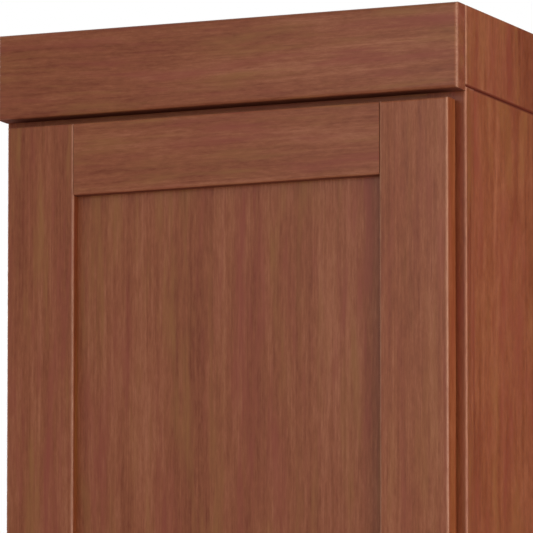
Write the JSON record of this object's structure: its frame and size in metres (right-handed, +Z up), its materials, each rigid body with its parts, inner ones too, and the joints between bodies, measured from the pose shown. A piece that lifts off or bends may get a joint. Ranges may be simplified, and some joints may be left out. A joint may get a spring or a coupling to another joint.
{
  "type": "linen cabinet",
  "caption": "Tall narrow face-frame linen cabinet with flat recessed-panel overlay doors, adjustable shelves inside and a flat riser on top.",
  "frame": {"origin": "on the floor, below the middle of the bounding box", "axes": "+Z up, +Y from the doors to the back, +X to the right seen from the front"},
  "size_m": [0.4572, 0.5806, 2.1336],
  "materials": {
    "stained_wood": "satin brown stain",
    "interior_wood": "clear coated light veneer",
    "plain_wood": "plain planed wood",
    "hinge_nickel": "satin nickel plate",
    "knob_nickel": "satin nickel plate",
    "screw_steel": "zinc plate",
    "pin_steel": "nickel plate",
    "bumper": "soft clear plastic"
  },
  "bodies": {
    "cabinet": {"back_panel": "interior_wood", "bottom_hanging_rail": "plain_wood", "bottom_panel": "interior_wood", "fixed_middle_shelf": "interior_wood", "frame_bottom_rail": "stained_wood", "frame_left_stile": "stained_wood", "frame_mid_rail": "stained_wood", "frame_right_stile": "stained_wood", "frame_top_rail": "stained_wood", "header_board": "stained_wood", "left_side_panel": "stained_wood", "lower_hinge_frame_leaves": "hinge_nickel", "lower_hinge_pins": "hinge_nickel", "lower_shelf": "interior_wood", "lower_shelf_pins": "pin_steel", "middle_hanging_rail": "plain_wood", "right_side_panel": "stained_wood", "riser_back_stretcher": "plain_wood", "riser_glue_blocks": "plain_wood", "riser_left_return": "stained_wood", "riser_right_return": "stained_wood", "toe_kick": "stained_wood", "top_hanging_rail": "plain_wood", "top_panel": "interior_wood", "upper_hinge_frame_leaves": "hinge_nickel", "upper_hinge_pins": "hinge_nickel", "upper_shelf_high": "interior_wood", "upper_shelf_high_pins": "pin_steel", "upper_shelf_low": "interior_wood", "upper_shelf_low_pins": "pin_steel", "upper_shelf_middle": "interior_wood", "upper_shelf_middle_pins": "pin_steel"},
    "upper_door": {"upper_door_bottom_rail": "stained_wood", "upper_door_hinge_stile": "stained_wood", "upper_door_knob_stile": "stained_wood", "upper_door_panel": "stained_wood", "upper_door_top_rail": "stained_wood", "upper_hinge_door_leaves": "hinge_nickel", "upper_knob": "knob_nickel"},
    "lower_door": {"lower_door_bottom_rail": "stained_wood", "lower_door_hinge_stile": "stained_wood", "lower_door_knob_stile": "stained_wood", "lower_door_panel": "stained_wood", "lower_door_top_rail": "stained_wood", "lower_hinge_door_leaves": "hinge_nickel", "lower_knob": "knob_nickel"}
  },
  "joints": [
    {"name": "upper_door_hinge", "type": "hinge", "parent": "cabinet", "child": "upper_door", "pos_m": [-0.2223, -0.2465, 0.9011], "axis": [0, 0, -1], "range_deg": [0, 135]},
    {"name": "lower_door_hinge", "type": "hinge", "parent": "cabinet", "child": "lower_door", "pos_m": [-0.2223, -0.2465, 0.1137], "axis": [0, 0, -1], "range_deg": [0, 135]}
  ]
}
